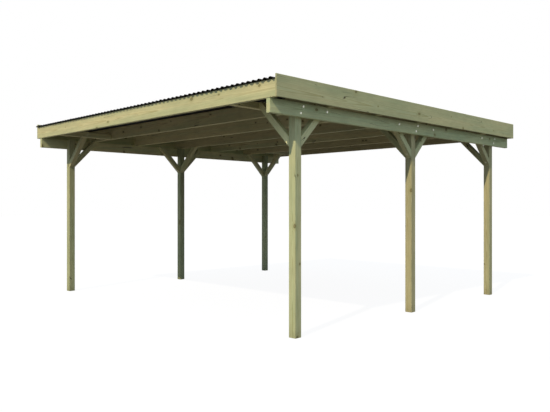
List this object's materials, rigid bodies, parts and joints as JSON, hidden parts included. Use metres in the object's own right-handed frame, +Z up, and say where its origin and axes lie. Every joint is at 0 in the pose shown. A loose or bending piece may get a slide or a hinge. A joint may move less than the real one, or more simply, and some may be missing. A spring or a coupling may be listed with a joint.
{
  "type": "timber carport",
  "caption": "Free-standing flat-roofed timber carport for two cars: two rows of posts with knee braces, outer beams, joists, side fascias and a corrugated sheet roof.",
  "frame": {"origin": "on the ground, at the centre of the plan", "axes": "+Z up, +Y the way a car drives in, +X to the right of the driver"},
  "size_m": [5.163, 5.17, 2.562],
  "materials": {
    "post_timber": "planed pressure-treated pine, pale green-yellow, with small dark knots",
    "beam_timber": "planed pressure-treated pine, green-tinted",
    "joist_timber": "planed pressure-treated pine, yellow-green",
    "fascia_timber": "planed pressure-treated pine board, olive",
    "brace_timber": "planed pressure-treated pine, green-tinted",
    "roof_sheet": "anthracite-black corrugated plastic roofing sheet, satin",
    "fixings": "bright zinc-plated bolts, washers, nuts and screws, which only the visual model draws"
  },
  "bodies": {
    "root": {"beam_left": "beam_timber", "beam_right": "beam_timber", "brace_front_inward_left": "brace_timber", "brace_front_inward_right": "brace_timber", "brace_front_rearward_left": "brace_timber", "brace_front_rearward_right": "brace_timber", "brace_middle_forward_left": "brace_timber", "brace_middle_forward_right": "brace_timber", "brace_middle_inward_left": "brace_timber", "brace_middle_inward_right": "brace_timber", "brace_middle_rearward_left": "brace_timber", "brace_middle_rearward_right": "brace_timber", "brace_rear_forward_left": "brace_timber", "brace_rear_forward_right": "brace_timber", "brace_rear_inward_left": "brace_timber", "brace_rear_inward_right": "brace_timber", "fascia_left": "fascia_timber", "fascia_right": "fascia_timber", "joist_1": "joist_timber", "joist_2": "joist_timber", "joist_3": "joist_timber", "joist_4": "joist_timber", "joist_5": "joist_timber", "joist_6": "joist_timber", "joist_7": "joist_timber", "post_front_left": "post_timber", "post_front_right": "post_timber", "post_middle_left": "post_timber", "post_middle_right": "post_timber", "post_rear_left": "post_timber", "post_rear_right": "post_timber", "roof_sheet_1": "roof_sheet", "roof_sheet_2": "roof_sheet", "roof_sheet_3": "roof_sheet", "roof_sheet_4": "roof_sheet", "roof_sheet_5": "roof_sheet", "trimmer_front_left": "joist_timber", "trimmer_front_right": "joist_timber", "trimmer_rear_left": "joist_timber", "trimmer_rear_right": "joist_timber"}
  },
  "joints": []
}
